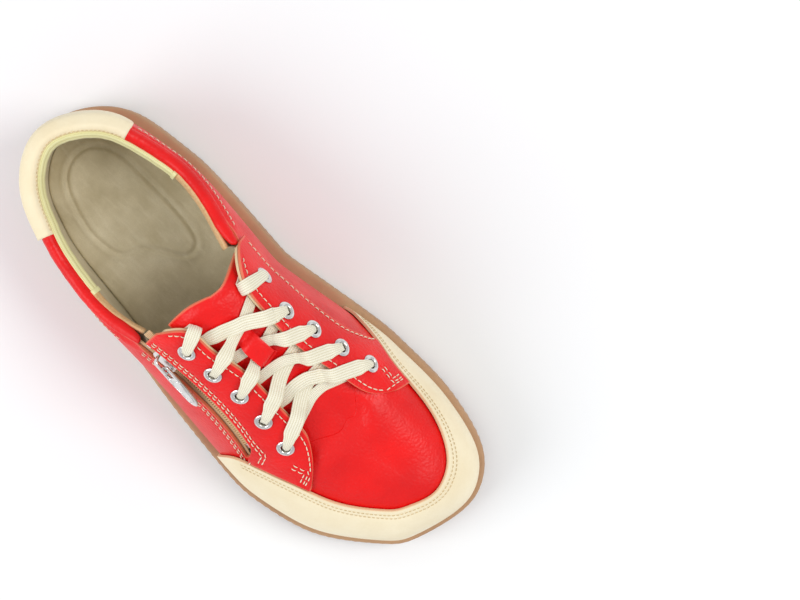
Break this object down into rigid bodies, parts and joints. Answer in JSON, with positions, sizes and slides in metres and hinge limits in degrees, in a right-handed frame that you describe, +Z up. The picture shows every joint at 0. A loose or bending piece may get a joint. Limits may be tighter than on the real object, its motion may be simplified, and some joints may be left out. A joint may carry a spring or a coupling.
{
  "type": "bowling shoe",
  "caption": "Right two-tone leather lace-up shoe with a padded collar, a side zip with a sliding puller and a treaded rubber sole.",
  "frame": {"origin": "on the ground, under the middle of the sole", "axes": "+Z up, +Y towards the toe, +X towards the outer side of the foot"},
  "size_m": [0.1037, 0.264, 0.0968],
  "materials": {
    "red_leather": "soft sheen, fine pebble grain",
    "cream_leather": "soft sheen, smooth grain",
    "lining_suede": "matt suede",
    "board": "matt fibreboard",
    "shank_steel": "plain spring steel",
    "sole_rubber": "matt gum rubber",
    "binding_textile": "woven tape",
    "zip_textile": "woven tape",
    "zip_coil": "spun nylon coil",
    "lace_cotton": "flat woven cotton",
    "aglet_plastic": "clear wrapped film",
    "nickel": "polished nickel plate"
  },
  "bodies": {
    "shoe": {"outsole": "sole_rubber", "shank": "shank_steel", "insole_board": "board", "footbed": "lining_suede", "vamp": "red_leather", "vamp_lining": "lining_suede", "toe_puff": "board", "toe_guard": "cream_leather", "lateral_quarter": "red_leather", "medial_quarter": "red_leather", "heel_counter": "board", "medial_facing": "red_leather", "medial_eyestay_lining": "cream_leather", "lateral_facing": "red_leather", "lateral_eyestay_lining": "cream_leather", "medial_collar": "red_leather", "lateral_collar": "red_leather", "heel_cap": "cream_leather", "quarter_lining": "lining_suede", "topline_binding": "binding_textile", "tongue": "red_leather", "tongue_lining": "lining_suede", "tongue_loop": "red_leather", "zip_tape_upper": "zip_textile", "zip_tape_lower": "zip_textile", "zip_chain": "zip_coil", "zip_bottom_stop": "nickel", "zip_top_stop_upper": "nickel", "zip_top_stop_lower": "nickel", "eyelet_medial_1": "nickel", "eyelet_medial_2": "nickel", "eyelet_medial_3": "nickel", "eyelet_medial_4": "nickel", "eyelet_medial_5": "nickel", "eyelet_lateral_1": "nickel", "eyelet_lateral_2": "nickel", "eyelet_lateral_3": "nickel", "eyelet_lateral_4": "nickel", "eyelet_lateral_5": "nickel", "lace": "lace_cotton", "aglet_medial": "aglet_plastic", "aglet_lateral": "aglet_plastic"},
    "slider": {"zip_slider": "nickel", "slider_bottom_plate": "nickel"},
    "pull": {"zip_pull": "nickel"}
  },
  "joints": [
    {"name": "zip_slide", "type": "hinge", "parent": "shoe", "child": "slider", "pos_m": [0.09442, -0.02638, -0.0201], "axis": [-0.7892, -0.1392, -0.5982], "range_deg": [-1, 24.3]},
    {"name": "pull_hinge", "type": "hinge", "parent": "slider", "child": "pull", "pos_m": [0.0267, -0.01323, 0.0752], "axis": [0.6025, -0.3645, -0.71], "range_deg": [0, 160]}
  ]
}
